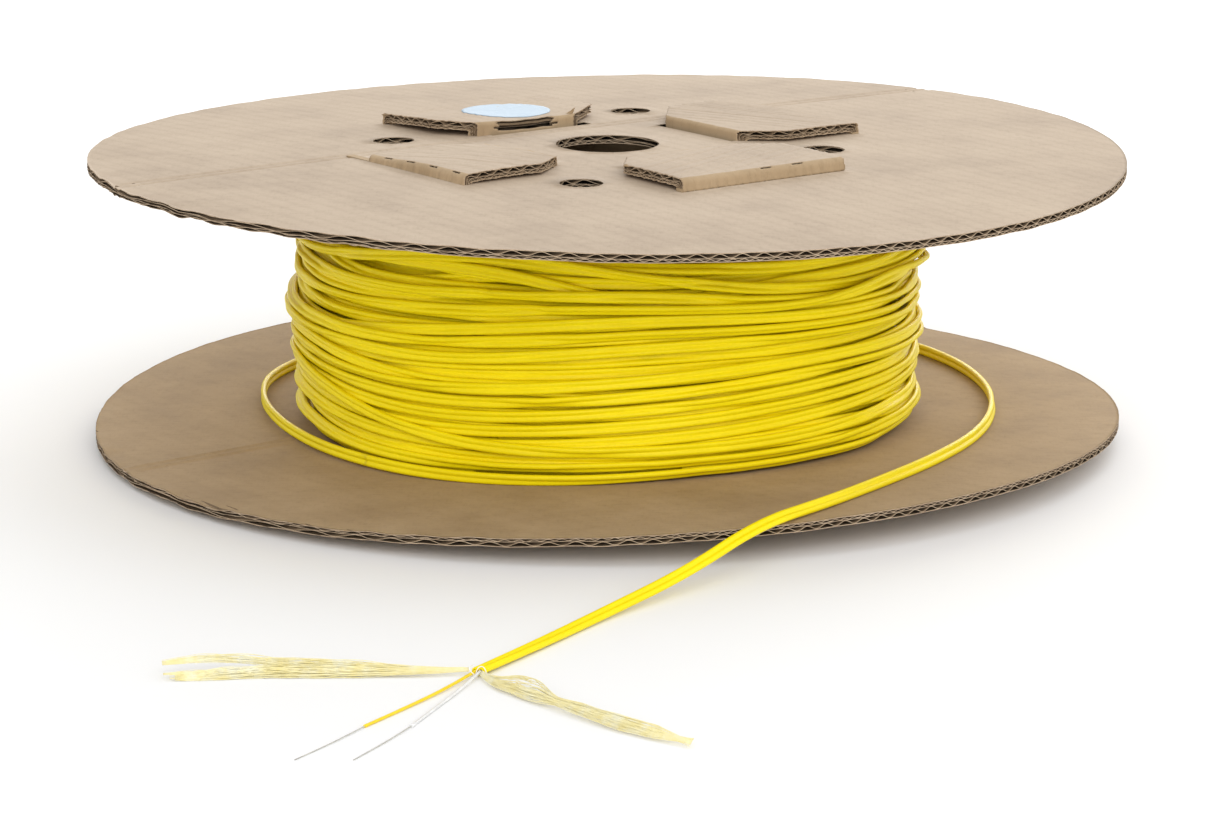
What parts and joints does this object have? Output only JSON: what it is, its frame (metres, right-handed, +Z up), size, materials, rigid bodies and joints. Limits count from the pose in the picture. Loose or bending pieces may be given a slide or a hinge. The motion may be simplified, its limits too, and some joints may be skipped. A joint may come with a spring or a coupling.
{
  "type": "cardboard cable reel with wound cable",
  "caption": "Corrugated-board cable reel with folded flaps, wound with flat two-fibre cable whose stripped end hangs loose.",
  "frame": {"origin": "on the reel's axis, at the surface that the reel lies on", "axes": "+Z up along the reel's axis; the loose cable end lies on the surface towards -Y"},
  "size_m": [0.36, 0.5444, 0.106],
  "materials": {
    "reel_board": "matt brown kraft liner",
    "cable_jacket": "satin yellow jacket",
    "yellow_buffer": "satin warm yellow",
    "clear_buffer": "milky natural plastic",
    "bare_fibre": "clear coated glass fibre",
    "strength_yarn": "silky pale yellow yarn",
    "sticker_paper": "matt light blue, blank"
  },
  "bodies": {
    "root": {"lower_flange": "reel_board", "upper_flange": "reel_board", "core_strip": "reel_board", "cable_winding": "cable_jacket", "cable_tail": "cable_jacket", "yellow_buffer": "yellow_buffer", "clear_buffer": "clear_buffer", "yellow_fibre": "bare_fibre", "clear_fibre": "bare_fibre", "left_yarn": "strength_yarn", "right_yarn": "strength_yarn"},
    "upper_flap_back_right": {"upper_flap_back_right": "reel_board"},
    "upper_flap_back_left": {"upper_flap_back_left": "reel_board", "sticker": "sticker_paper"},
    "upper_flap_front_left": {"upper_flap_front_left": "reel_board"},
    "upper_flap_front_right": {"upper_flap_front_right": "reel_board"},
    "lower_flap_back_right": {"lower_flap_back_right": "reel_board"},
    "lower_flap_back_left": {"lower_flap_back_left": "reel_board"},
    "lower_flap_front_left": {"lower_flap_front_left": "reel_board"},
    "lower_flap_front_right": {"lower_flap_front_right": "reel_board"}
  },
  "joints": [
    {"name": "upper_flap_back_right_fold", "type": "hinge", "parent": "root", "child": "upper_flap_back_right", "pos_m": [0.06868, 0.05176, 0.10585], "axis": [-0.6018, 0.7986, 0], "range_deg": [0, 90]},
    {"name": "lower_flap_back_right_fold", "type": "hinge", "parent": "root", "child": "lower_flap_back_right", "pos_m": [0.06605, 0.04977, 0.00025], "axis": [0.6018, -0.7986, 0], "range_deg": [0, 90]},
    {"name": "upper_flap_back_left_fold", "type": "hinge", "parent": "root", "child": "upper_flap_back_left", "pos_m": [-0.05176, 0.06868, 0.10585], "axis": [-0.7986, -0.6018, 0], "range_deg": [0, 90]},
    {"name": "lower_flap_back_left_fold", "type": "hinge", "parent": "root", "child": "lower_flap_back_left", "pos_m": [-0.04977, 0.06605, 0.00025], "axis": [0.7986, 0.6018, 0], "range_deg": [0, 90]},
    {"name": "upper_flap_front_left_fold", "type": "hinge", "parent": "root", "child": "upper_flap_front_left", "pos_m": [-0.06868, -0.05176, 0.10585], "axis": [0.6018, -0.7986, 0], "range_deg": [0, 90]},
    {"name": "lower_flap_front_left_fold", "type": "hinge", "parent": "root", "child": "lower_flap_front_left", "pos_m": [-0.06605, -0.04977, 0.00025], "axis": [-0.6018, 0.7986, 0], "range_deg": [0, 90]},
    {"name": "upper_flap_front_right_fold", "type": "hinge", "parent": "root", "child": "upper_flap_front_right", "pos_m": [0.05176, -0.06868, 0.10585], "axis": [0.7986, 0.6018, 0], "range_deg": [0, 90]},
    {"name": "lower_flap_front_right_fold", "type": "hinge", "parent": "root", "child": "lower_flap_front_right", "pos_m": [0.04977, -0.06605, 0.00025], "axis": [-0.7986, -0.6018, 0], "range_deg": [0, 90]}
  ]
}
